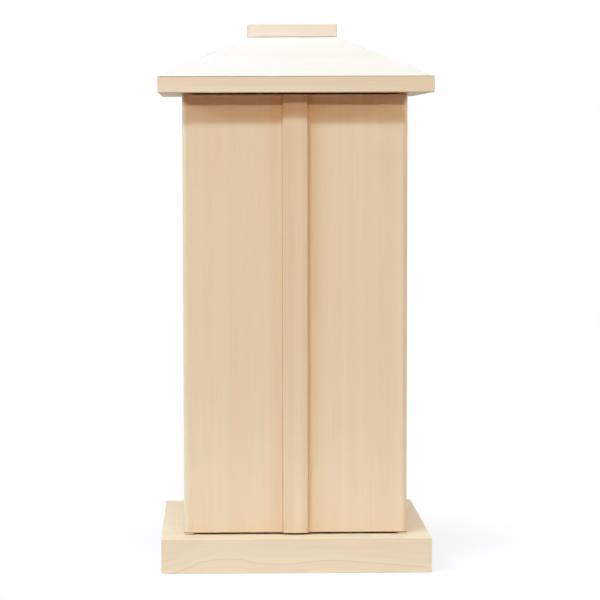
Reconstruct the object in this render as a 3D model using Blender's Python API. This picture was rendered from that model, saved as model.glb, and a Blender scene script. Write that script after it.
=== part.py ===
"""A small shrine cabinet in plain softwood.

A thick base slab carries a tall box of thin boards. Two doors cover its front from edge to
edge and turn on wooden pins at their outer, round edges. A flat strip on the right door
covers the line where they meet. The roof is an eave board with four mitred, equally
pitched boards on it, closed by a flat ridge block.

Metres, +Z up. The front faces -Y, and the origin is on the floor under the middle.
"""

import math

import bmesh
import bpy
from mathutils import Matrix, Vector

# The body, between the base and the eave.
BODY_WIDTH = 0.184
BODY_DEPTH = 0.141           # from the door faces to the back
BODY_HEIGHT = 0.363
SIDE_THICKNESS = 0.009
BACK_THICKNESS = 0.006
BACK_REBATE = 0.005          # how far the back board is let into each side board
HOUSING_DEPTH = 0.005        # how far the upright boards are let into base and eave

# The base slab and the eave board.
BASE_THICKNESS = 0.0285
SIDE_OVERHANG = 0.0185       # base beyond the body, at each side
END_OVERHANG = 0.0195        # base beyond the body, at the front and at the back
EAVE_EXTRA = 0.001           # eave beyond the base, all round
EAVE_BAND = 0.013            # from the eave's underside to the lower edge of the slopes

# The roof over the eave board.
ROOF_RUN = 0.074             # from the eave to the ridge block, in plan
ROOF_RISE = 0.0345
ROOF_BOARD = 0.009
RIDGE_HEIGHT = 0.011         # the ridge block, above the slopes

# The doors, their pins and the cover strip.
DOOR_THICKNESS = 0.009
DOOR_SEAM = 0.0008           # between the two doors
DOOR_BACK_GAP = 0.0004       # between the doors and the side boards behind them
GAP_BELOW = 0.0016
GAP_ABOVE = 0.0012
STRIP_WIDTH = 0.0205
STRIP_PROUD = 0.0035         # strip face in front of the door faces
PIN_DIAMETER = 0.004
PIN_IN_DOOR = 0.012
PIN_IN_BOARD = 0.006         # how far a pin reaches into the base or the eave

# Workmanship.
FIT = 0.0003                 # clearance between pieces that touch
ARRIS = 0.0005               # rounding of the boards' edges
STRIP_ARRIS = 0.0015         # rounding of the strip's two front edges
ARRIS_STEPS = 2
ROUND_STEPS = 8              # steps in a quarter of a door's round edge
PIN_SIDES = 32

# Places that follow from the sizes.
BASE_TOP = BASE_THICKNESS
EAVE_UNDER = BASE_TOP + BODY_HEIGHT
SLOPE_FOOT = EAVE_UNDER + EAVE_BAND
SLOPE_TOP = SLOPE_FOOT + ROOF_RISE
BASE_WIDTH = BODY_WIDTH + 2 * SIDE_OVERHANG
BASE_DEPTH = BODY_DEPTH + 2 * END_OVERHANG
EAVE_WIDTH = BASE_WIDTH + 2 * EAVE_EXTRA
EAVE_DEPTH = BASE_DEPTH + 2 * EAVE_EXTRA
FRONT = -BODY_DEPTH / 2
BACK = BODY_DEPTH / 2
DOOR_BACK = FRONT + DOOR_THICKNESS
SIDE_FRONT = DOOR_BACK + DOOR_BACK_GAP
DOOR_FOOT = BASE_TOP + GAP_BELOW
DOOR_TOP = EAVE_UNDER - GAP_ABOVE
EDGE_RADIUS = DOOR_THICKNESS / 2
HINGE_X = BODY_WIDTH / 2 - EDGE_RADIUS
HINGE_Y = FRONT + EDGE_RADIUS


def srgb(red, green, blue):
    """Turn screen values from 0 to 255 into linear colour."""
    def linear(value):
        share = value / 255
        return share / 12.92 if share <= 0.04045 else ((share + 0.055) / 1.055) ** 2.4
    return (linear(red), linear(green), linear(blue), 1.0)


def wood(name, colour, roughness):
    """Make one piece's planed, unvarnished wood."""
    material = bpy.data.materials.new(name)
    material.use_nodes = True
    shader = material.node_tree.nodes["Principled BSDF"]
    shader.inputs["Base Color"].default_value = colour
    shader.inputs["Roughness"].default_value = roughness
    shader.inputs["Metallic"].default_value = 0.0
    return material


def start_scene():
    """Empty the scene and make the collections for the cabinet and for its cutters."""
    for old in list(bpy.data.objects):
        bpy.data.objects.remove(old)
    collections = []
    for name in ("shrine_cabinet", "cutters"):
        collection = bpy.data.collections.new(name)
        bpy.context.scene.collection.children.link(collection)
        collections.append(collection)
    return collections


cabinet, cutters = start_scene()


def block(low, high):
    """A box between two corners, in its object's own frame."""
    low, high = Vector(low), Vector(high)
    bm = bmesh.new()
    bmesh.ops.create_cube(bm, size=1.0)
    bmesh.ops.scale(bm, vec=high - low, verts=bm.verts)
    bmesh.ops.translate(bm, vec=(low + high) / 2, verts=bm.verts)
    return bm


def ease(bm, radius, steps, where):
    """Round the edges whose middle point passes the test."""
    edges = [edge for edge in bm.edges if where((edge.verts[0].co + edge.verts[1].co) / 2)]
    bmesh.ops.bevel(bm, geom=edges, offset=radius, offset_type="OFFSET", segments=steps,
                    profile=0.5, affect="EDGES")
    bmesh.ops.remove_doubles(bm, verts=bm.verts, dist=1e-6)


def saw(bm, point, normal):
    """Cut through along a plane, drop what lies on the normal's side and close the cut."""
    cut = bmesh.ops.bisect_plane(bm, geom=bm.verts[:] + bm.edges[:] + bm.faces[:],
                                 plane_co=point, plane_no=normal, clear_outer=True)
    rim = [item for item in cut["geom_cut"] if isinstance(item, bmesh.types.BMEdge)]
    if rim:
        bmesh.ops.holes_fill(bm, edges=rim)


def place(name, bm, material, location=(0, 0, 0), turn=0.0, parent=None):
    """Make the mesh an object of the cabinet, turned about Z, at a place in its parent."""
    bmesh.ops.recalc_face_normals(bm, faces=bm.faces)
    mesh = bpy.data.meshes.new(name)
    bm.to_mesh(mesh)
    bm.free()
    mesh.materials.append(material)
    mesh.shade_smooth()
    mesh.set_sharp_from_angle(angle=math.radians(30))
    piece = bpy.data.objects.new(name, mesh)
    piece.location = location
    piece.rotation_euler.z = turn
    piece.parent = parent
    cabinet.objects.link(piece)
    return piece


def cutter(name, bm):
    """Make the mesh a cutter, which is seen as wires and is no piece of the cabinet."""
    mesh = bpy.data.meshes.new(name)
    bm.to_mesh(mesh)
    bm.free()
    tool = bpy.data.objects.new(name, mesh)
    tool.display_type = "WIRE"
    tool.hide_render = True
    cutters.objects.link(tool)
    return tool


def cut(piece, *tools):
    """Take the cutters away from a piece."""
    for tool in tools:
        boolean = piece.modifiers.new(tool.name, "BOOLEAN")
        boolean.operation = "DIFFERENCE"
        boolean.solver = "EXACT"
        boolean.object = tool


def housing(name, low, high):
    """The seat for an upright board: the board's own box, larger by the fit all round."""
    room = Vector((FIT, FIT, FIT))
    return cutter(name, block(Vector(low) - room, Vector(high) + room))


# The upright boards of the body. They stand in housings in the base and in the eave.
BOARD_FOOT = BASE_TOP - HOUSING_DEPTH + FIT
BOARD_TOP = EAVE_UNDER + HOUSING_DEPTH - FIT
SIDE_INNER = BODY_WIDTH / 2 - SIDE_THICKNESS
BACK_HALF = SIDE_INNER + BACK_REBATE - FIT
BACK_FRONT = BACK - BACK_THICKNESS

back_low = (-BACK_HALF, BACK_FRONT, BOARD_FOOT)
back_high = (BACK_HALF, BACK, BOARD_TOP)
rebates = housing("back_rebate", back_low, (BACK_HALF, BACK + ARRIS, BOARD_TOP + FIT))
back_housing = housing("back_housing", back_low, back_high)


def side_board(name, side):
    """An upright board with a rebate for the back board, and the cutter for its housings."""
    outer, inner = side * BODY_WIDTH / 2, side * SIDE_INNER
    low = (min(outer, inner), SIDE_FRONT, BOARD_FOOT)
    high = (max(outer, inner), BACK, BOARD_TOP)
    bm = block(low, high)
    ease(bm, ARRIS, ARRIS_STEPS, lambda middle: abs(middle.z - (BOARD_FOOT + BOARD_TOP) / 2) < FIT)
    piece = place(name, bm, wood(name + "_wood", srgb(226, 205, 176), 0.55))
    cut(piece, rebates)
    return housing(name + "_housing", low, high)


side_housings = [side_board("side_board_left", -1), side_board("side_board_right", 1)]

back_bm = block(back_low, back_high)
place("back_board", back_bm, wood("back_board_wood", srgb(224, 202, 173), 0.55))


# The pins that the doors turn on, and the hole that each needs in what it passes through.
def pin_reach(end):
    """Lowest and highest point of the pin at a door's foot (-1) or top (1)."""
    if end < 0:
        return BASE_TOP - PIN_IN_BOARD, DOOR_FOOT + PIN_IN_DOOR
    return DOOR_TOP - PIN_IN_DOOR, EAVE_UNDER + PIN_IN_BOARD


def rod(radius, low, high):
    """An upright cylinder about its object's own Z axis."""
    bm = bmesh.new()
    bmesh.ops.create_cone(bm, cap_ends=True, segments=PIN_SIDES, radius1=radius, radius2=radius,
                          depth=high - low,
                          matrix=Matrix.Translation((0, 0, (low + high) / 2)))
    return bm


def pin_hole(name, side, end):
    """The pin's own cylinder, larger by the fit all round."""
    low, high = pin_reach(end)
    tool = cutter(name, rod(PIN_DIAMETER / 2 + FIT, low - FIT, high + FIT))
    tool.location = (side * HINGE_X, HINGE_Y, 0)
    return tool


SIDES = {"left": -1, "right": 1}
ENDS = {"bottom": -1, "top": 1}
holes = {(side, end): pin_hole("pin_hole_" + side + "_" + end, SIDES[side], ENDS[end])
         for side in SIDES for end in ENDS}


# The base slab.
base_bm = block((-BASE_WIDTH / 2, -BASE_DEPTH / 2, 0), (BASE_WIDTH / 2, BASE_DEPTH / 2, BASE_TOP))
ease(base_bm, ARRIS, ARRIS_STEPS, lambda middle: True)
base = place("base_board", base_bm, wood("base_board_wood", srgb(231, 213, 186), 0.55))
cut(base, *side_housings, back_housing, holes["left", "bottom"], holes["right", "bottom"])

# The eave board. Its top edges stay sharp, because the slopes start right above them.
EAVE_TOP = SLOPE_FOOT - FIT
eave_bm = block((-EAVE_WIDTH / 2, -EAVE_DEPTH / 2, EAVE_UNDER),
                (EAVE_WIDTH / 2, EAVE_DEPTH / 2, EAVE_TOP))
ease(eave_bm, ARRIS, ARRIS_STEPS, lambda middle: middle.z < EAVE_UNDER + FIT)
eave = place("eave_board", eave_bm, wood("eave_board_wood", srgb(229, 208, 180), 0.55))
cut(eave, *side_housings, back_housing, holes["left", "top"], holes["right", "top"])


# The roof: four boards of one pitch, sawn level at the foot and at the top, mitred at the
# hips and cut plumb where the front and back boards meet under the ridge block.
def roof_board(name, turn, eave_length, inward):
    """A slope in its own frame: X along its eave, Y inwards, the eave line through the origin."""
    pitch = math.atan2(ROOF_RISE, ROOF_RUN)
    slope = math.hypot(ROOF_RISE, ROOF_RUN)
    bm = block((-eave_length / 2, -ROOF_BOARD, -ROOF_BOARD),
               (eave_length / 2, slope + ROOF_BOARD, 0))
    bmesh.ops.rotate(bm, cent=(0, 0, 0), matrix=Matrix.Rotation(pitch, 3, "X"), verts=bm.verts)
    saw(bm, (0, 0, 0), (0, 0, -1))
    saw(bm, (0, 0, ROOF_RISE), (0, 0, 1))
    saw(bm, (0, inward - FIT / 2, 0), (0, 1, 0))
    for hand in (-1, 1):
        mitre = Vector((hand, 1, 0)).normalized()
        saw(bm, Vector((hand * eave_length / 2, 0, 0)) - mitre * FIT / 2, mitre)
    foot = Matrix.Rotation(turn, 3, "Z") @ Vector((0, -inward, SLOPE_FOOT))
    place(name, bm, wood(name + "_wood", srgb(240, 226, 204), 0.55), foot, turn)


roof_board("roof_slope_front", 0, EAVE_WIDTH, EAVE_DEPTH / 2)
roof_board("roof_slope_right", math.pi / 2, EAVE_DEPTH, EAVE_WIDTH / 2)
roof_board("roof_slope_back", math.pi, EAVE_WIDTH, EAVE_DEPTH / 2)
roof_board("roof_slope_left", -math.pi / 2, EAVE_DEPTH, EAVE_WIDTH / 2)

ridge_half = Vector((EAVE_WIDTH / 2 - ROOF_RUN, EAVE_DEPTH / 2 - ROOF_RUN, 0))
ridge_bm = block(-ridge_half, ridge_half + Vector((0, 0, RIDGE_HEIGHT - FIT)))
ease(ridge_bm, ARRIS, ARRIS_STEPS, lambda middle: middle.z > FIT)
place("ridge_block", ridge_bm, wood("ridge_block_wood", srgb(240, 226, 204), 0.55),
      (0, 0, SLOPE_TOP + FIT))


# The doors, each with its pins, on an empty that stands on the joint's axis.
DOOR_WIDTH = (BODY_WIDTH - DOOR_SEAM) / 2


def hinge(side):
    """The empty that carries one door."""
    axis = bpy.data.objects.new("hinge_" + side, None)
    axis.location = (SIDES[side] * HINGE_X, HINGE_Y, 0)
    cabinet.objects.link(axis)
    return axis


def door(side, axis):
    """One leaf. Its outer edge is a half round about the pins."""
    outer = SIDES[side] * EDGE_RADIUS
    inner = SIDES[side] * (EDGE_RADIUS - DOOR_WIDTH)
    bm = block((min(outer, inner), -EDGE_RADIUS, DOOR_FOOT),
               (max(outer, inner), EDGE_RADIUS, DOOR_TOP))
    middle_height = (DOOR_FOOT + DOOR_TOP) / 2
    ease(bm, EDGE_RADIUS, ROUND_STEPS,
         lambda middle: abs(middle.z - middle_height) < FIT and abs(middle.x - outer) < FIT)
    ease(bm, ARRIS, ARRIS_STEPS, lambda middle: abs(middle.z - middle_height) > FIT
         or abs(middle.x - inner) < FIT)
    name = "door_" + side
    piece = place(name, bm, wood(name + "_wood", srgb(226, 204, 175), 0.5), parent=axis)
    cut(piece, holes[side, "bottom"], holes[side, "top"])


def pin(side, end, axis):
    """A dowel with chamfered ends, fixed in the door."""
    low, high = pin_reach(ENDS[end])
    bm = rod(PIN_DIAMETER / 2, low, high)
    ease(bm, ARRIS, 1, lambda middle: not low + FIT < middle.z < high - FIT)
    name = "pivot_pin_" + side + "_" + end
    place(name, bm, wood(name + "_wood", srgb(214, 186, 148), 0.5), parent=axis)


def collar(side, end):
    """A flat ring round the pin that keeps the door off the base, or off the eave."""
    if end == "bottom":
        low, high = BASE_TOP + FIT, DOOR_FOOT - FIT
    else:
        low, high = DOOR_TOP + FIT, EAVE_UNDER - FIT
    name = "pivot_collar_" + side + "_" + end
    piece = place(name, rod(EDGE_RADIUS, low, high), wood(name + "_wood", srgb(222, 198, 164), 0.5),
                  (SIDES[side] * HINGE_X, HINGE_Y, 0))
    cut(piece, holes[side, end])


hinges = {side: hinge(side) for side in SIDES}
for side in SIDES:
    door(side, hinges[side])
    for end in ENDS:
        pin(side, end, hinges[side])
        collar(side, end)

# The cover strip, fixed to the right door and reaching over the left one's edge.
strip_low = Vector((-STRIP_WIDTH / 2, FRONT - STRIP_PROUD, DOOR_FOOT))
strip_high = Vector((STRIP_WIDTH / 2, FRONT - FIT, DOOR_TOP))
strip_bm = block(strip_low, strip_high)
ease(strip_bm, STRIP_ARRIS, 2 * ARRIS_STEPS,
     lambda middle: middle.y < strip_low.y + FIT and abs(middle.x) > STRIP_WIDTH / 4)
strip_bm.transform(Matrix.Translation((-HINGE_X, -HINGE_Y, 0)))
place("door_strip", strip_bm, wood("door_strip_wood", srgb(227, 206, 177), 0.5),
      parent=hinges["right"])
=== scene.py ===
"""The finish of a small shrine cabinet in planed, unvarnished cypress.

The file follows the cabinet as it is put together: base, upright boards, eave board, roof,
ridge block, pins, doors and cover strip, and then the pale table under it, the light and the eye.
"""

import math

import bpy
import numpy as np
from mathutils import Matrix, Vector


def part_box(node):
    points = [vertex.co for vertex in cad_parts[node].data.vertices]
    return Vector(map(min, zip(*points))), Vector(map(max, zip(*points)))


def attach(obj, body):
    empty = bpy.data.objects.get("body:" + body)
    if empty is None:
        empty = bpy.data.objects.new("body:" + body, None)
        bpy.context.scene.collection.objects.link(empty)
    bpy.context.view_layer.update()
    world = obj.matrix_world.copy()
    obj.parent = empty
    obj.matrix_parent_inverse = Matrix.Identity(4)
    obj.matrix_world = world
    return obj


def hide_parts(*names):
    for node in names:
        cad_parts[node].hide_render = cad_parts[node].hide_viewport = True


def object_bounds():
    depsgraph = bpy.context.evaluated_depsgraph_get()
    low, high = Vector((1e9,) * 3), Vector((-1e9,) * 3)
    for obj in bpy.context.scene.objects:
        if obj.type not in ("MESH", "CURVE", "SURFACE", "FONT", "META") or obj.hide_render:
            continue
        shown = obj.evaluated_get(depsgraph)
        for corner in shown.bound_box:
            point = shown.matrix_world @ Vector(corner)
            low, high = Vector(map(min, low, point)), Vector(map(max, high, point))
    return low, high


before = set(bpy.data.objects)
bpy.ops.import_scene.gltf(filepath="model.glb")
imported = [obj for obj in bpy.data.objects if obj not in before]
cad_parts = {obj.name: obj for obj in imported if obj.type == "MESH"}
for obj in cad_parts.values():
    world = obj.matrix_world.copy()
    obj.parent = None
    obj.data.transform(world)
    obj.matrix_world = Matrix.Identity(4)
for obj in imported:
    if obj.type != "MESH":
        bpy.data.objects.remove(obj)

cad_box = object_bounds()


# The base: one thick plank with its length across the front, let in for the upright boards.
# It is sawn from the side of the log, so the growth rings come out on its front edge as low
# swells, strong near the foot and faint above. Planed all over, its arrises just eased.
def colour(red, green, blue):
    """Linear colour of screen values from 0 to 255."""
    share = np.array([red, green, blue]) / 255
    linear = np.where(share <= 0.04045, share / 12.92, ((share + 0.055) / 1.055) ** 2.4)
    return (*linear, 1.0)


def add(tree, kind, inputs=None, **options):
    """A new node. Its inputs are given values, or sockets of other nodes to be joined to."""
    node = tree.nodes.new(kind)
    for name, value in options.items():
        setattr(node, name, value)
    for key, value in (inputs or {}).items():
        if isinstance(value, bpy.types.NodeSocket):
            tree.links.new(value, node.inputs[key])
        else:
            node.inputs[key].default_value = value
    return node


def reckon(tree, operation, *values):
    """The result of a Math node."""
    return add(tree, "ShaderNodeMath", dict(enumerate(values)), operation=operation).outputs[0]


def stretched_noise(tree, place, across, along, detail):
    """Noise about zero, from -0.5 to 0.5, drawn out along the grain, Z: across and along are its
    waves a metre, crosswise and lengthwise."""
    drawn = add(tree, "ShaderNodeVectorMath", {0: place, 1: (across, across, along)},
                operation="MULTIPLY")
    noise = add(tree, "ShaderNodeTexNoise", {"Vector": drawn.outputs[0], "Scale": 1.0,
                                             "Detail": detail, "Roughness": 0.55})
    return reckon(tree, "SUBTRACT", noise.outputs["Fac"], 0.5)


def new_group(name, inputs, outputs):
    """An empty shader group with its sockets, and the nodes that stand for its two ends."""
    group = bpy.data.node_groups.new(name, "ShaderNodeTree")
    for socket, kind in inputs.items():
        group.interface.new_socket(socket, in_out="INPUT", socket_type="NodeSocket" + kind)
    for socket, kind in outputs.items():
        group.interface.new_socket(socket, in_out="OUTPUT", socket_type="NodeSocket" + kind)
    return group, add(group, "NodeGroupInput").outputs, add(group, "NodeGroupOutput").inputs


def growth_rings():
    """Late wood of the growth rings, for a log whose heart runs along Z through the origin.

    The distance from the heart, bent by a slow noise, is counted in ring widths. The eighth
    power of the fraction rises to a thin line at the end of each ring and drops off at once.
    A random number for each ring makes some lines strong and leaves others faint.
    """
    group, given, result = new_group(
        "growth_rings",
        {"Place": "Vector", "Ring Width": "Float", "Wander": "Float"},
        {"Line": "Float", "Ring Tone": "Float"})
    flat = add(group, "ShaderNodeVectorMath", {0: given["Place"], 1: (1, 1, 0)},
               operation="MULTIPLY")
    distance = add(group, "ShaderNodeVectorMath", {0: flat.outputs[0]}, operation="LENGTH")
    slow_noise = stretched_noise(group, given["Place"], across=16, along=5, detail=1)
    bend = reckon(group, "MULTIPLY", slow_noise, given["Wander"])
    count = reckon(group, "DIVIDE", reckon(group, "ADD", distance.outputs["Value"], bend),
                   given["Ring Width"])
    share = reckon(group, "FRACT", count)
    sharpness = 8.0
    rise = reckon(group, "POWER", share, sharpness)
    drop = add(group, "ShaderNodeMapRange", {"Value": share, "From Min": 0.95, "From Max": 1.0,
                                             "To Min": 1.0, "To Max": 0.0},
               interpolation_type="SMOOTHSTEP").outputs[0]
    chance = add(group, "ShaderNodeTexWhiteNoise", {"W": reckon(group, "FLOOR", count)},
                 noise_dimensions="1D").outputs["Value"]
    faintest = 0.25
    strength = reckon(group, "MULTIPLY_ADD", chance, 1 - faintest, faintest)
    line = reckon(group, "MULTIPLY", reckon(group, "MULTIPLY", rise, drop), strength)
    group.links.new(line, result["Line"])
    group.links.new(reckon(group, "SUBTRACT", chance, 0.5), result["Ring Tone"])
    return group


def planed_grain():
    """What lies between the rings: broad soft streaks, fine fibres, a change of hue from rosy to
    yellow, and the plane's shallow ripple.

    Each is a noise with so many waves a metre across and along Z, drawn out along Z by eight to
    seventy times.
    """
    group, given, result = new_group(
        "planed_grain", {"Place": "Vector"},
        {"Streak": "Float", "Fibre": "Float", "Blush": "Float", "Ripple": "Float"})
    for layer, across, along, detail in (("Streak", 65, 1.6, 1), ("Fibre", 1500, 22, 2),
                                         ("Blush", 55, 6, 1), ("Ripple", 70, 9, 1)):
        group.links.new(stretched_noise(group, given["Place"], across, along, detail), result[layer])
    return group


def handled_arris():
    """Mask of the worn edges of a squared board.

    On the surface of a box the nearest face is no distance away, and the middle one of the
    three distances to its faces is that to the nearest edge. The mask falls from 1 at the
    edge to 0 at the given width, and a noise breaks it up.
    """
    group, given, result = new_group(
        "handled_arris",
        {"Place": "Vector", "Middle": "Vector", "Half Size": "Vector", "Width": "Float"},
        {"Edge": "Float"})
    offset = add(group, "ShaderNodeVectorMath", {0: given["Place"], 1: given["Middle"]},
                 operation="SUBTRACT")
    beside = add(group, "ShaderNodeVectorMath", {0: offset.outputs[0]}, operation="ABSOLUTE")
    left = add(group, "ShaderNodeVectorMath", {0: given["Half Size"], 1: beside.outputs[0]},
               operation="SUBTRACT")
    x, y, z = add(group, "ShaderNodeSeparateXYZ", {0: left.outputs[0]}).outputs
    nearest_of_two = reckon(group, "MINIMUM", x, y)
    farthest_of_two = reckon(group, "MAXIMUM", x, y)
    to_edge = reckon(group, "MAXIMUM", nearest_of_two, reckon(group, "MINIMUM", farthest_of_two, z))
    fall = add(group, "ShaderNodeMapRange", {"Value": to_edge, "From Min": 0.0,
                                             "From Max": given["Width"], "To Min": 1.0,
                                             "To Max": 0.0},
               interpolation_type="SMOOTHSTEP").outputs[0]
    mean_wear = 0.6
    uneven = stretched_noise(group, given["Place"], across=60, along=60, detail=2)
    patches = reckon(group, "ADD", uneven, mean_wear)
    group.links.new(reckon(group, "MULTIPLY", fall, patches), result["Edge"])
    return group


RINGS = growth_rings()
GRAIN = planed_grain()
ARRIS = handled_arris()
# The turn that brings a board's grain, which runs along one of its axes, onto Z.
ALONG = {"x": (0, -math.pi / 2, 0), "y": (math.pi / 2, 0, 0), "z": (0, 0, 0)}


def cypress(name, node, grain, heart, plain, late, ring_width, wander, lines, streaks,
            fibrous=0.35, dull=0.52, end_grain=0.82, swell=None):
    """Planed cypress for one board.

    The board's own place is turned so that its grain runs along Z, and moved by the heart's
    place in the log. A swell bends the place first and fades the lines. Lines, streaks and
    fibres, each as strong as its value says, are added to one share, which mixes the late
    wood's colour into the plain wood's. Where it is sawn across, the wood keeps only a share of
    its brightness, end_grain. It is as rough as dull says, and a little smoother on the lines
    and on the worn edges. Ripple, fibres and lines are heights in metres for the bump.
    """
    ring_tone = 0.12
    mean_share = 0.25
    rosy_tone = (1.01, 0.93, 0.86, 1.0)
    worn_width = 0.0022
    worn_tone = 0.08
    worn_polish = 0.12
    line_polish = 0.15
    fibre_roughness = 0.2
    ripple_height = 0.00004
    fibre_height = 0.00002
    line_height = 0.00001

    low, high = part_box(node)
    material = bpy.data.materials.new(name)
    material.use_nodes = True
    tree = material.node_tree
    shader = tree.nodes["Principled BSDF"]
    own = add(tree, "ShaderNodeTexCoord").outputs
    place = own["Object"]
    if swell is not None:
        place, lines = swell(tree, place, lines)
    in_log = add(tree, "ShaderNodeMapping", {"Vector": place, "Rotation": ALONG[grain],
                                             "Location": heart}).outputs[0]
    rings = add(tree, "ShaderNodeGroup", node_tree=RINGS)
    tree.links.new(in_log, rings.inputs["Place"])
    rings.inputs["Ring Width"].default_value = ring_width
    rings.inputs["Wander"].default_value = wander
    fibres = add(tree, "ShaderNodeGroup", node_tree=GRAIN)
    tree.links.new(in_log, fibres.inputs["Place"])
    arris = add(tree, "ShaderNodeGroup", node_tree=ARRIS)
    tree.links.new(own["Object"], arris.inputs["Place"])
    arris.inputs["Middle"].default_value = (low + high) / 2
    arris.inputs["Half Size"].default_value = (high - low) / 2
    arris.inputs["Width"].default_value = worn_width

    line = reckon(tree, "MULTIPLY", rings.outputs["Line"], lines)
    tone = reckon(tree, "MULTIPLY_ADD", reckon(tree, "MULTIPLY", rings.outputs["Ring Tone"], lines),
                  ring_tone, line)
    streak = reckon(tree, "MULTIPLY_ADD", fibres.outputs["Streak"], streaks, tone)
    share = reckon(tree, "MULTIPLY_ADD", fibres.outputs["Fibre"], fibrous, streak)
    wood = add(tree, "ShaderNodeMix", {"Factor": reckon(tree, "ADD", share, mean_share),
                                       "A": colour(*plain), "B": colour(*late)},
               data_type="RGBA")
    rosy = add(tree, "ShaderNodeMix", {"Factor": reckon(tree, "ADD", fibres.outputs["Blush"], 0.5),
                                       "A": wood.outputs["Result"], "B": rosy_tone},
               data_type="RGBA", blend_type="MULTIPLY")
    facing = add(tree, "ShaderNodeMapping", {"Vector": own["Normal"], "Rotation": ALONG[grain]},
                 vector_type="NORMAL").outputs[0]
    across = reckon(tree, "ABSOLUTE", add(tree, "ShaderNodeSeparateXYZ", {0: facing}).outputs["Z"])
    sawn = add(tree, "ShaderNodeMapRange", {"Value": across, "From Min": 0.75, "From Max": 0.95,
                                            "To Min": 1.0, "To Max": end_grain}).outputs[0]
    shaded = add(tree, "ShaderNodeMix", {"Factor": 1.0, "A": rosy.outputs["Result"], "B": sawn},
                 data_type="RGBA", blend_type="MULTIPLY")
    wear = reckon(tree, "MULTIPLY", arris.outputs["Edge"], worn_tone)
    worn = add(tree, "ShaderNodeMix", {"Factor": wear, "A": shaded.outputs["Result"],
                                       "B": colour(*late)}, data_type="RGBA")
    tree.links.new(worn.outputs["Result"], shader.inputs["Base Color"])

    matt = reckon(tree, "MULTIPLY_ADD", fibres.outputs["Fibre"], fibre_roughness, dull)
    smooth = reckon(tree, "MULTIPLY_ADD", arris.outputs["Edge"], -worn_polish, matt)
    tree.links.new(reckon(tree, "MULTIPLY_ADD", line, -line_polish, smooth), shader.inputs["Roughness"])
    shader.inputs["Specular IOR Level"].default_value = 0.7

    ripple = reckon(tree, "MULTIPLY", fibres.outputs["Ripple"], ripple_height)
    fibre = reckon(tree, "MULTIPLY_ADD", fibres.outputs["Fibre"], fibre_height, ripple)
    height = reckon(tree, "MULTIPLY_ADD", line, line_height, fibre)
    bump = add(tree, "ShaderNodeBump", {"Height": height, "Distance": 1.0, "Strength": 1.0})
    tree.links.new(bump.outputs["Normal"], shader.inputs["Normal"])
    return material


SWELL = 0.016


def low_swells(tree, place, lines):
    """Lower each point by the height of the swells at its X, so that the ring lines follow them,
    and let the lines fade from a third of the board's thickness upwards.

    The curve holds the height of one late line along the front edge: 0 and 1 across are the
    board's left and right ends, 1 upwards is SWELL.
    """
    fade_start = 0.35
    fade_end = 0.6
    faint = 0.2
    low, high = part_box("base_board")
    x, y, z = add(tree, "ShaderNodeSeparateXYZ", {0: place}).outputs
    across = add(tree, "ShaderNodeMapRange", {"Value": x, "From Min": low.x, "From Max": high.x})
    curve = add(tree, "ShaderNodeFloatCurve", {"Value": across.outputs[0]})
    points = curve.mapping.curves[0].points
    points[0].location = (0.0, 0.05)
    points[1].location = (1.0, 0.44)
    for at, height in ((0.1, 0.5), (0.17, 0.86), (0.26, 0.94), (0.36, 0.72), (0.46, 0.66),
                       (0.54, 0.76), (0.63, 0.85), (0.75, 0.74), (0.9, 0.56)):
        points.new(at, height)
    curve.mapping.update()
    down = add(tree, "ShaderNodeCombineXYZ", {"Z": reckon(tree, "MULTIPLY", curve.outputs[0], SWELL)})
    bent = add(tree, "ShaderNodeVectorMath", {0: place, 1: down.outputs[0]}, operation="SUBTRACT")
    fading = add(tree, "ShaderNodeMapRange", {"Value": z, "From Min": fade_start * high.z,
                                              "From Max": fade_end * high.z, "To Min": lines,
                                              "To Max": faint * lines},
                 interpolation_type="SMOOTHSTEP")
    return bent.outputs[0], fading.outputs[0]


def finish_node(node, material):
    """Give a board whose shape is already right its finish."""
    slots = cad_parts[node].material_slots
    for slot in slots:
        slot.material = material
    if not slots:
        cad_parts[node].data.materials.append(material)


finish_node("base_board", cypress(
    "base_cypress", "base_board", "x", heart=(-0.0986, 0.09, 0.0), plain=(221, 208, 182),
    late=(196, 156, 118), ring_width=0.006, wander=0.0012, lines=0.55, streaks=0.28,
    dull=0.48, swell=low_swells))


# The side boards: two thin upright boards, grain up and down, each with a rebate along its
# back edge that takes the back board. Their ends stand in the base and in the eave board.
def eased_outline(corners, radii, steps=4):
    """Points and outward directions round a polygon whose corners are rounded.

    Corners run anticlockwise. Each is replaced by an arc that touches both of its sides. The
    arc's middle lies along the sum of the sides' outward directions, at
    radius / (1 + their scalar product) times that sum: inwards at a corner, outwards in a nook.
    """
    corners = np.asarray(corners, float)
    radii = np.broadcast_to(radii, len(corners))[:, None]
    ahead = np.roll(corners, -1, 0) - corners
    ahead /= np.linalg.norm(ahead, axis=1, keepdims=True)
    after = np.stack([ahead[:, 1], -ahead[:, 0]], 1)
    before = np.roll(after, 1, 0)
    along = (before * after).sum(1, keepdims=True)
    turn = np.arctan2(before[:, 0] * after[:, 1] - before[:, 1] * after[:, 0], along[:, 0])
    start = np.arctan2(before[:, 1], before[:, 0])
    angle = start[:, None] + turn[:, None] * np.linspace(0, 1, steps + 1)
    outward = np.stack([np.cos(angle), np.sin(angle)], -1)
    side = np.sign(turn)[:, None]
    middle = corners - side * radii * (before + after) / (1 + along)
    points = middle[:, None] + (side * radii)[:, None] * outward
    return points.reshape(-1, 2), outward.reshape(-1, 2)


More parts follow.
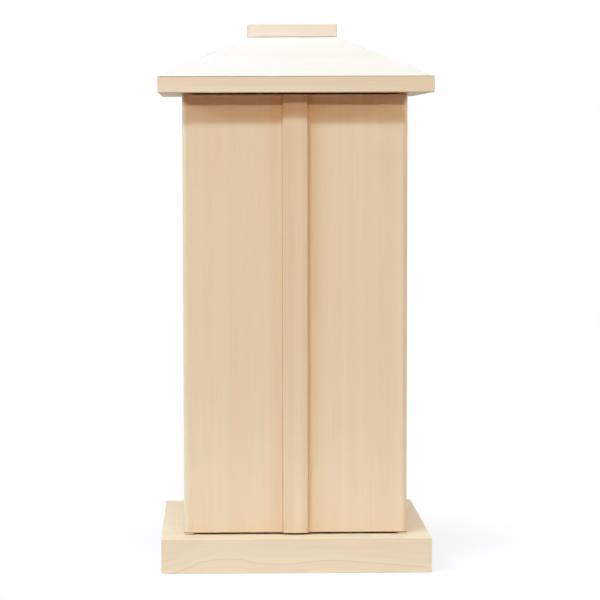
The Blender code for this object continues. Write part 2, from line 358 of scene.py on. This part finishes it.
def carried_up(points, outward, low, high, ease, steps=3):
    """Rings of points and directions from a board's lower end to its upper end.

    The outline is carried straight up. Over a quarter circle at each end it draws in by
    ease * (1 - sin) while it is lifted by ease * (1 - cos), so the arris there is round too.
    """
    turn = np.linspace(0, math.pi / 2, steps + 1)[:, None, None]
    drawn = points - outward * ease * (1 - np.sin(turn))
    flat = np.sin(turn) * outward
    lift = np.broadcast_to(ease * (1 - np.cos(turn)), drawn.shape[:2] + (1,))
    slant = np.broadcast_to(np.cos(turn), drawn.shape[:2] + (1,))
    foot = np.concatenate([drawn, low + lift], 2), np.concatenate([flat, -slant], 2)
    head = np.concatenate([drawn, high - lift], 2)[::-1], np.concatenate([flat, slant], 2)[::-1]
    return np.concatenate([foot[0], head[0]]), np.concatenate([foot[1], head[1]])


def skin(name, rings, directions, material, slot, body, *nodes, endless=False):
    """A closed piece from rings of points: a four-sided face between neighbours, a flat face over
    each end, or the last ring joined to the first. The directions become the shading normals."""
    count, around = rings.shape[:2]
    ring = np.arange(count if endless else count - 1)[:, None]
    point = np.arange(around)[None, :]
    here, above = ring * around, (ring + 1) % count * around
    beside = (point + 1) % around
    quads = np.stack([here + point, here + beside, above + beside, above + point], -1)
    faces = quads.reshape(-1, 4).tolist()
    if not endless:
        last = (count - 1) * around + np.arange(around)
        faces += [np.arange(around)[::-1].tolist(), last.tolist()]
    mesh = bpy.data.meshes.new(name)
    mesh.from_pydata(rings.reshape(-1, 3).tolist(), [], faces)
    mesh.shade_smooth()
    mesh.normals_split_custom_set_from_vertices(directions.reshape(-1, 3).tolist())
    mesh.materials.append(material)
    piece = bpy.data.objects.new(name, mesh)
    bpy.context.scene.collection.objects.link(piece)
    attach(piece, body)
    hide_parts(*nodes)


back_low, back_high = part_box("back_board")
for side, hand in (("left", -1), ("right", 1)):
    node = "side_board_" + side
    low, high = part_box(node)
    outer, inner = (low.x, high.x) if hand < 0 else (high.x, low.x)
    rebate = hand * back_high.x
    corners = [(outer, low.y), (outer, high.y), (rebate, high.y), (rebate, back_low.y),
               (inner, back_low.y), (inner, low.y)][::hand]
    points, outward = eased_outline(corners, radii=0.0004)
    rings, directions = carried_up(points, outward, low.z, high.z, ease=0.0002)
    skin(side + "_side_board", rings, directions,
         cypress(side + "_side_cypress", node, "z", heart=(0.02, 0.11 * hand, 0.3 * hand),
                 plain=(232, 215, 191), late=(200, 162, 124), ring_width=0.0022, wander=0.004,
                 lines=0.28, streaks=0.7),
         "plain_wood", "case", node)


# The back board: thinner than the sides, let into their rebates from behind, so that its
# face lies flush with their back edges and only two fine joint lines show.
points, outward = eased_outline(
    [(back_low.x, back_low.y), (back_high.x, back_low.y), (back_high.x, back_high.y),
     (back_low.x, back_high.y)], radii=0.0003)
rings, directions = carried_up(points, outward, back_low.z, back_high.z, ease=0.0002)
skin("rear_board", rings, directions,
     cypress("rear_cypress", "back_board", "z", heart=(0.03, -0.16, 0.9), plain=(231, 214, 190),
             late=(198, 160, 122), ring_width=0.0042, wander=0.009, lines=0.4, streaks=0.6),
     "plain_wood", "case", "back_board")


# The eave board: a flat board over the body, its edge planed square, its underside the ceiling
# of the cabinet. It is let in for the uprights and bored for the doors' upper pins.
finish_node("eave_board", cypress(
    "eave_cypress", "eave_board", "x", heart=(0.3, 0.12, 0.5), plain=(229, 216, 192),
    late=(200, 162, 126), ring_width=0.003, wander=0.003, lines=0.22, streaks=0.5,
    fibrous=0.25))


# The roof: four boards of one pitch on the eave board, mitred at the hips. Each is sawn level
# at its foot and at its top, and plumb under the ridge block. Their wood is given paler and
# greyer than the body's, much of it painted light that stands in for the strong light from above.
ROOF_BOARD = 0.009
FIT = 0.0003
front_low, front_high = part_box("roof_slope_front")
ridge_low, ridge_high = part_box("ridge_block")
run = ridge_low.y - front_low.y
rise = front_high.z - front_low.z
pitch = math.atan2(rise, run)


def slope_outline(reach):
    """The board's section from the eave inwards: a slanting strip cut level, level and plumb."""
    sole = ROOF_BOARD / math.sin(pitch)
    return [(0, 0), (sole, 0), (reach, (reach - sole) * math.tan(pitch)), (reach, rise), (run, rise)]


def slope_rings(eave_length, reach, eased=0.0001, rows=24):
    """Rings along the eave: at so far in from it, the mitres leave half the eave's length less
    that distance on each side, so every ring of the section spreads as it runs down."""
    points, outward = eased_outline(slope_outline(reach), radii=eased)
    share = np.linspace(-1, 1, rows + 1)[:, None]
    along = share * (eave_length / 2 - points[:, 0] - eased)
    inwards = np.broadcast_to(points[:, 0], along.shape)
    upwards = np.broadcast_to(points[:, 1], along.shape)
    rings = np.stack([along, inwards, upwards], 2)
    directions = np.broadcast_to(np.concatenate([np.zeros((len(outward), 1)), outward], 1),
                                 rings.shape)
    return rings, directions


def turned(vectors, quarter):
    """Vectors after so many quarter turns about Z."""
    return vectors @ np.array(Matrix.Rotation(quarter * math.pi / 2, 3, "Z")).T


half_depth, half_width = -front_low.y, front_high.x
for quarter, (side, eave_half, foot) in enumerate((
        ("front", half_width, half_depth), ("right", half_depth, half_width),
        ("back", half_width, half_depth), ("left", half_depth, half_width))):
    node = "roof_slope_" + side
    rings, directions = slope_rings(2 * eave_half, half_depth - FIT)
    rings = turned(rings - [0, foot, 0], quarter) + [0, 0, front_low.z]
    # Painted light: the pale, greyish plain colour stands in for the strong light from above.
    skin(side + "_roof_board", rings, turned(directions, quarter),
         cypress(side + "_roof_cypress", node, "xy"[quarter % 2],
                 heart=(0.45 + 0.02 * quarter, 0.05, 0.4 * quarter), plain=(221, 216, 212),
                 late=(214, 196, 172), ring_width=0.0019, wander=0.004, lines=0.15, streaks=0.3,
                 fibrous=0.25),
         "pale_roof_wood", "case", node)


# The ridge block: a flat block that closes the roof over the tops of the four boards. Its
# arrises are eased all round, and its ends show the wood sawn across.
points, outward = eased_outline(
    [(ridge_low.x, ridge_low.y), (ridge_high.x, ridge_low.y), (ridge_high.x, ridge_high.y),
     (ridge_low.x, ridge_high.y)], radii=0.0007)
rings, directions = carried_up(points, outward, ridge_low.z, ridge_high.z, ease=0.0005)
# Painted light: as on the roof boards, the pale plain colour stands in for the strong light from above.
skin("ridge_cap", rings, directions,
     cypress("ridge_cypress", "ridge_block", "x", heart=(0.5, 0.03, 1.3), plain=(223, 215, 205),
             late=(212, 182, 150), ring_width=0.0016, wander=0.002, lines=0.35, streaks=0.4),
     "pale_roof_wood", "case", "ridge_block")


# The pivots: a turned pin in each end of each door, chamfered, and on it a thin collar that
# keeps the door off the base and off the eave. A finer, slightly darker wood than the boards.
COLLAR_PLAY = 0.0001


def round_outline(middle, radius, count=48):
    """A circle, anticlockwise, with its outward directions."""
    angle = np.linspace(0, 2 * math.pi, count, endpoint=False)
    outward = np.stack([np.cos(angle), np.sin(angle)], 1)
    return np.array(middle) + radius * outward, outward


def collar_rings(middle, hole, edge, low, high):
    """A flat ring as an endless run of circles: up the outside, in over the top, down the hole
    and out under the foot. The easing is cut off each of its four corners."""
    easing = 0.0001
    profile = [(edge, low + easing, 1, 0), (edge, high - easing, 1, 0),
               (edge - easing, high, 0, 1), (hole + easing, high, 0, 1),
               (hole, high - easing, -1, 0), (hole, low + easing, -1, 0),
               (hole + easing, low, 0, -1), (edge - easing, low, 0, -1)]
    radius, height, out, up = np.array(profile).T[:, :, None]
    circle, outward = round_outline((0, 0), 1.0)
    flat = np.array(middle) + radius[..., None] * circle
    tall = np.broadcast_to(height, flat.shape[:2])
    lean = np.broadcast_to(up, flat.shape[:2])
    rings = np.concatenate([flat, tall[..., None]], 2)
    directions = np.concatenate([out[..., None] * outward, lean[..., None]], 2)
    return rings, directions


for side, hand in (("left", -1), ("right", 1)):
    for end in ("bottom", "top"):
        name = side + "_" + end
        low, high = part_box("pivot_pin_" + name)
        axis = ((low.x + high.x) / 2, (low.y + high.y) / 2)
        pin_radius = (high.x - low.x) / 2
        turned_wood = cypress(name + "_pin_wood", "pivot_pin_" + name, "z",
                              heart=(0.03, 0.02, 0.1 * hand), plain=(229, 208, 180),
                              late=(196, 154, 114), ring_width=0.0011, wander=0.001, lines=0.3,
                              streaks=0.4)
        points, outward = round_outline(axis, pin_radius)
        rings, directions = carried_up(points, outward, low.z, high.z, ease=0.0005)
        skin(name + "_pin", rings, directions, turned_wood, "pin_wood", side + "_door",
             "pivot_pin_" + name)
        collar_low, collar_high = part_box("pivot_collar_" + name)
        rings, directions = collar_rings(axis, pin_radius + COLLAR_PLAY,
                                         (collar_high.x - collar_low.x) / 2,
                                         collar_low.z, collar_high.z)
        skin(name + "_collar", rings, directions, turned_wood, "pin_wood", "case",
             "pivot_collar_" + name, endless=True)


# The doors: two boards from quarter-sawn stock, with straight fine grain up and down. Beside the
# cover strip both carry painted shade, a warm tint, and the left one a painted dark shade line
# along the strip's edge. The outer edge is planed to a half round about the pins, and each end is bored
# for one.
BORE_PLAY = 0.0002


def door_outline(low, high, hand, axis):
    """The leaf seen from above: half round outside, just eased at the meeting edge. More points
    along the two faces stand where rays at even angles from the pin's middle meet them."""
    half = (high.y - low.y) / 2
    half_round = 0.99 * half
    meeting = 0.0006
    outer, inner = (low.x, high.x) if hand < 0 else (high.x, low.x)
    corners = np.array([(outer, low.y), (inner, low.y), (inner, high.y), (outer, high.y)])
    radii = np.array([half_round, meeting, meeting, half_round])
    order = slice(None, None, -hand)
    points, outward = eased_outline(corners[order], radii[order], steps=8)
    ray = np.radians(np.arange(15, 90, 15))
    x = axis[0] - hand * half * np.tan(ray)
    for y, direction in ((low.y, -1), (high.y, 1)):
        extra = np.stack([x, np.full(len(x), y)], 1)
        points = np.concatenate([points, extra])
        outward = np.concatenate([outward, np.tile([0, direction], (len(x), 1))])
    middle = (low + high) / 2
    inside = np.array([middle.x, middle.y])
    turn = np.argsort(np.arctan2(points[:, 1] - inside[1], points[:, 0] - inside[0]))
    return points[turn], outward[turn]


def bore_rings(points, axis, radius, mouth, depth):
    """The hole for a pin, from its end to its mouth: circles whose points lie in line with the
    outline's own, seen from the pin's middle, so that the board's end divides into wedges."""
    ray = points - np.array(axis)
    ray /= np.linalg.norm(ray, axis=1, keepdims=True)
    chamfer = 0.0002
    inwards = math.copysign(chamfer, depth)
    profile = np.array([(radius, mouth + depth), (radius, mouth + inwards), (radius + chamfer, mouth)])
    flat = np.array(axis) + profile[:, :1, None] * ray
    tall = np.broadcast_to(profile[:, 1:, None], flat.shape[:2] + (1,))
    rings = np.concatenate([flat, tall], 2)
    wall = np.concatenate([-ray, np.zeros((len(ray), 1))], 1)
    face = np.broadcast_to([0, 0, -math.copysign(1, depth)], wall.shape)
    return rings, np.stack([wall, wall, face])


def paint_shade(material, tone, *ranges):
    """Paint shade into the wood's colour: multiply it by a tone where all the ranges hold.

    A range is a channel of Texture Coordinate, an axis, the value at which it holds fully and
    the value from which on it doesn't hold. The shares are multiplied with each other.
    """
    tree = material.node_tree
    own = add(tree, "ShaderNodeTexCoord").outputs
    share = 1.0
    for channel, axis, full, none in ranges:
        value = add(tree, "ShaderNodeSeparateXYZ", {0: own[channel]}).outputs[axis]
        held = add(tree, "ShaderNodeMapRange", {"Value": value, "From Min": full, "From Max": none,
                                                "To Min": 1.0, "To Max": 0.0}).outputs[0]
        share = reckon(tree, "MULTIPLY", held, share)
    base_colour = tree.nodes["Principled BSDF"].inputs["Base Color"]
    wood = base_colour.links[0].from_socket
    mixed = add(tree, "ShaderNodeMix", {"Factor": share, "A": wood, "B": (*tone, 1.0)},
                data_type="RGBA", blend_type="MULTIPLY")
    tree.links.new(mixed.outputs["Result"], base_colour)


STRIP_SHADE_WIDTH = 0.018
SEAM_SHADE_WIDTH = 0.0006
SEAM_SHADE_END = 0.001
FRONT = ("Normal", "Y", -0.95, -0.8)
strip_left, strip_right = (corner.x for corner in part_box("door_strip"))
for side, hand, heart, wood in (
        ("left", -1, (0.31, 0.02, 0.0), (228, 214, 186)),
        ("right", 1, (0.42, 0.01, 0.7), (229, 216, 189))):
    node = "door_" + side
    low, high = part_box(node)
    pin_low, pin_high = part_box("pivot_pin_" + side + "_bottom")
    axis = ((pin_low.x + pin_high.x) / 2, (pin_low.y + pin_high.y) / 2)
    bore = (pin_high.x - pin_low.x) / 2 + BORE_PLAY
    depth = pin_high.z - low.z + FIT
    points, outward = door_outline(low, high, hand, axis)
    lower = bore_rings(points, axis, bore, low.z, depth)
    leaf = carried_up(points, outward, low.z, high.z, ease=0.0005)
    upper = bore_rings(points, axis, bore, high.z, -depth)
    rings = np.concatenate([lower[0], leaf[0], upper[0][::-1]])
    directions = np.concatenate([lower[1], leaf[1], upper[1][::-1]])
    leaf_wood = cypress(side + "_door_cypress", node, "z", heart=heart, plain=wood,
                        late=(200, 160, 122), ring_width=0.0016, wander=0.0035, lines=0.12,
                        streaks=0.28, fibrous=0.2)
    if hand > 0:
        # Painted shade: a warm, darker tint on the right door's front where the strip's shadow falls.
        paint_shade(leaf_wood, (0.98, 0.88, 0.76), FRONT,
              ("Object", "X", strip_right, strip_right + STRIP_SHADE_WIDTH))
    else:
        # Painted shade: a warm tint on the left door's front beside the strip, for the colour of its
        # shade.
        paint_shade(leaf_wood, (1.06, 1.0, 0.94), FRONT,
              ("Object", "X", strip_left, strip_left - STRIP_SHADE_WIDTH))
        # Painted shade: a fine dark line on the left door's front along the strip's edge, where the seam
        # lies in shade.
        paint_shade(leaf_wood, (0.84, 0.75, 0.65), FRONT,
              ("Object", "X", strip_left - SEAM_SHADE_WIDTH, strip_left - SEAM_SHADE_END))
    skin(side + "_door_leaf", rings, directions, leaf_wood, "door_wood", side + "_door", node)


# The cover strip: a flat fillet glued to the right door, which closes over the left door's
# edge. Its two front arrises are rounded, its back is square. The doors have no handle. The
# strip's left side is darkened in its colour: painted shade along the seam with the left door.
low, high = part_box("door_strip")
points, outward = eased_outline(
    [(low.x, low.y), (high.x, low.y), (high.x, high.y), (low.x, high.y)],
    radii=[0.0008, 0.0012, 0.0003, 0.0003], steps=6)
rings, directions = carried_up(points, outward, low.z, high.z, ease=0.0002)
strip_wood = cypress("strip_cypress", "door_strip", "z", heart=(0.37, -0.02, 0.25),
                     plain=(224, 207, 178), late=(200, 160, 122), ring_width=0.0021, wander=0.002,
                     lines=0.35, streaks=1.1)
# Painted shade: the strip's left side is darkened in its colour, for the seam's shade.
SHADED_LEFT_SIDE = ("Normal", "X", -0.99, -0.9)
paint_shade(strip_wood, (0.7, 0.6, 0.5), SHADED_LEFT_SIDE)
skin("cover_strip", rings, directions, strip_wood, "door_wood", "right_door", "door_strip")


# The table under the cabinet: a wide pale disc. To the eye it is white, as the room behind it
# is, but for the cabinet's soft shadow close to the base.
def seen_directly(tree, backdrop):
    """1 for rays from the eye, and the backdrop's share for those mirrored or let through."""
    path = add(tree, "ShaderNodeLightPath").outputs
    mirrored = reckon(tree, "MAXIMUM", path["Is Glossy Ray"], path["Is Transmission Ray"])
    return reckon(tree, "MAXIMUM", path["Is Camera Ray"], reckon(tree, "MULTIPLY", mirrored, backdrop))


def towards_back(tree, vector, near, far):
    """Share that rises from 0 to 1 as the vector's Y goes from near to far."""
    y = add(tree, "ShaderNodeSeparateXYZ", {0: vector}).outputs["Y"]
    return add(tree, "ShaderNodeMapRange", {"Value": y, "From Min": near, "From Max": far}).outputs[0]


def pale_table():
    """White to the eye, but for a share of its own lit surface, which carries the shadow. The
    share is a quarter near the cabinet and falls to nothing a little farther out."""
    material = bpy.data.materials.new("pale_table")
    material.use_nodes = True
    tree = material.node_tree
    shader = tree.nodes["Principled BSDF"]
    shader.inputs["Roughness"].default_value = 0.9
    place = add(tree, "ShaderNodeTexCoord").outputs["Object"]
    away = add(tree, "ShaderNodeVectorMath", {0: place}, operation="LENGTH").outputs["Value"]
    far = add(tree, "ShaderNodeMapRange", {"Value": away, "From Min": 0.22, "From Max": 0.34}).outputs[0]
    tint = add(tree, "ShaderNodeMix", {"Factor": far, "A": (0.74, 0.79, 0.84, 1.0),
                                       "B": (0.18, 0.14, 0.09, 1.0)}, data_type="RGBA")
    tree.links.new(tint.outputs["Result"], shader.inputs["Base Color"])
    cover = add(tree, "ShaderNodeMapRange", {"Value": away, "From Min": 0.12, "From Max": 0.26,
                                             "To Min": 0.75, "To Max": 1.0},
                interpolation_type="SMOOTHSTEP").outputs[0]
    white = add(tree, "ShaderNodeEmission", {"Color": (1, 1, 1, 1), "Strength": 1.0})
    seen = seen_directly(tree, towards_back(tree, place, 0.0, 0.3))
    mix = add(tree, "ShaderNodeMixShader", {0: reckon(tree, "MULTIPLY", cover, seen),
                                            1: shader.outputs[0], 2: white.outputs[0]})
    tree.links.new(mix.outputs[0], tree.nodes["Material Output"].inputs["Surface"])
    return material


TABLE_RADIUS = 4.0
TABLE_GAP = 0.0002
angle = np.linspace(0, 2 * math.pi, 96, endpoint=False)
rim = TABLE_RADIUS * np.stack([np.cos(angle), np.sin(angle), np.zeros_like(angle)], 1)
table_mesh = bpy.data.meshes.new("table")
table_mesh.from_pydata((rim - [0, 0, TABLE_GAP]).tolist(), [], [list(range(len(rim)))])
table_mesh.materials.append(pale_table())
table = bpy.data.objects.new("table", table_mesh)
bpy.context.scene.collection.objects.link(table)


# The light: two long bars over the front, a box and a high bar at the left, a box at the right,
# one overhead, a weak warm one low in front, and three behind for the sides and the back. All
# are tinted, and together near white on the front. The room adds a weak warm light.
cabinet_middle = (Vector(cad_box[0]) + Vector(cad_box[1])) / 2
WHITE_AT_ONE_METRE = math.pi ** 2
LAMP_DISTANCE = 2.4


def soft_box(name, azimuth, elevation, width, height, share, tint):
    """A lamp aimed at the cabinet's middle. At a share of 1 a white board that faces it is white:
    that takes pi squared watts at one metre, and more by the square of the distance."""
    lamp = bpy.data.lights.new(name, "AREA")
    lamp.shape = "RECTANGLE"
    lamp.size, lamp.size_y = width, height
    lamp.energy = share * WHITE_AT_ONE_METRE * LAMP_DISTANCE ** 2
    lamp.color = tint
    box = bpy.data.objects.new(name, lamp)
    turn = Matrix.Rotation(math.radians(azimuth), 4, "Z")
    lean = Matrix.Rotation(math.radians(90 - elevation), 4, "X")
    back_off = Matrix.Translation((0, 0, LAMP_DISTANCE))
    box.matrix_world = Matrix.Translation(cabinet_middle) @ turn @ lean @ back_off
    bpy.context.scene.collection.objects.link(box)
    return box


# Azimuth and elevation in degrees, width and height in metres, share and tint.
soft_box("low_box", -8, 28.9, 0.9, 0.12, 0.264, (1.0, 0.91, 0.68))
soft_box("high_box", 6, 52.4, 0.9, 0.08, 0.19, (0.41, 0.7, 1.0))
soft_box("left_box", -70, 22.3, 0.3, 0.3, 0.46, (0.57, 0.85, 1.0))
soft_box("high_left_box", -42, 43.5, 0.4, 0.1, 0.56, (0.57, 0.81, 1.0))
soft_box("right_box", 72, 18, 0.6, 0.6, 0.36, (0.87, 1.0, 0.84))
soft_box("top_box", 0, 78, 0.8, 0.8, 0.36, (0.64, 0.9, 1.0))
soft_box("warm_box", -8, 6, 0.9, 0.3, 0.057, (1.0, 0.04, 0.0))
soft_box("left_rear_box", -112, 10, 0.6, 0.6, 0.15, (1.0, 0.84, 0.68)).visible_glossy = False
soft_box("right_rear_box", 112, 10, 0.6, 0.6, 0.12, (1.0, 0.88, 0.8)).visible_glossy = False
soft_box("rear_box", 180, 6, 1.4, 0.6, 0.8, (0.83, 0.94, 1.0)).visible_glossy = False

world = bpy.data.worlds.new("room")
bpy.context.scene.world = world
world.use_nodes = True
tree = world.node_tree
room = tree.nodes["Background"]
room.inputs["Color"].default_value = (1.0, 0.3, 0.05, 1.0)
room.inputs["Strength"].default_value = 0.23
blank = add(tree, "ShaderNodeBackground", {"Color": (1, 1, 1, 1), "Strength": 1.0})
heading = add(tree, "ShaderNodeTexCoord").outputs["Generated"]
mix = add(tree, "ShaderNodeMixShader", {0: seen_directly(tree, towards_back(tree, heading, -0.5, 0.1)),
                                        1: room.outputs[0], 2: blank.outputs[0]})
tree.links.new(mix.outputs[0], tree.nodes["World Output"].inputs["Surface"])


# The eye stands a little left of the middle and just under the eaves, and looks slightly down.
# Its long lens keeps the upright edges nearly parallel.
eye_place = Vector((-0.0698, -1.756, 0.3567))
eye_turn, eye_dip, eye_roll = (math.radians(degrees) for degrees in (0.832, -4.047, -0.181))
camera = bpy.data.cameras.new("eye")
camera.lens = 123.9
camera.sensor_width = 36.0
camera.shift_x = 0.1
camera.shift_y = -0.03
eye = bpy.data.objects.new("eye", camera)
eye.matrix_world = (Matrix.Translation(eye_place) @ Matrix.Rotation(-eye_turn, 4, "Z")
                    @ Matrix.Rotation(math.pi / 2 + eye_dip, 4, "X")
                    @ Matrix.Rotation(eye_roll, 4, "Z"))
bpy.context.scene.collection.objects.link(eye)
bpy.context.scene.camera = eye
bpy.context.scene.view_settings.view_transform = "Standard"
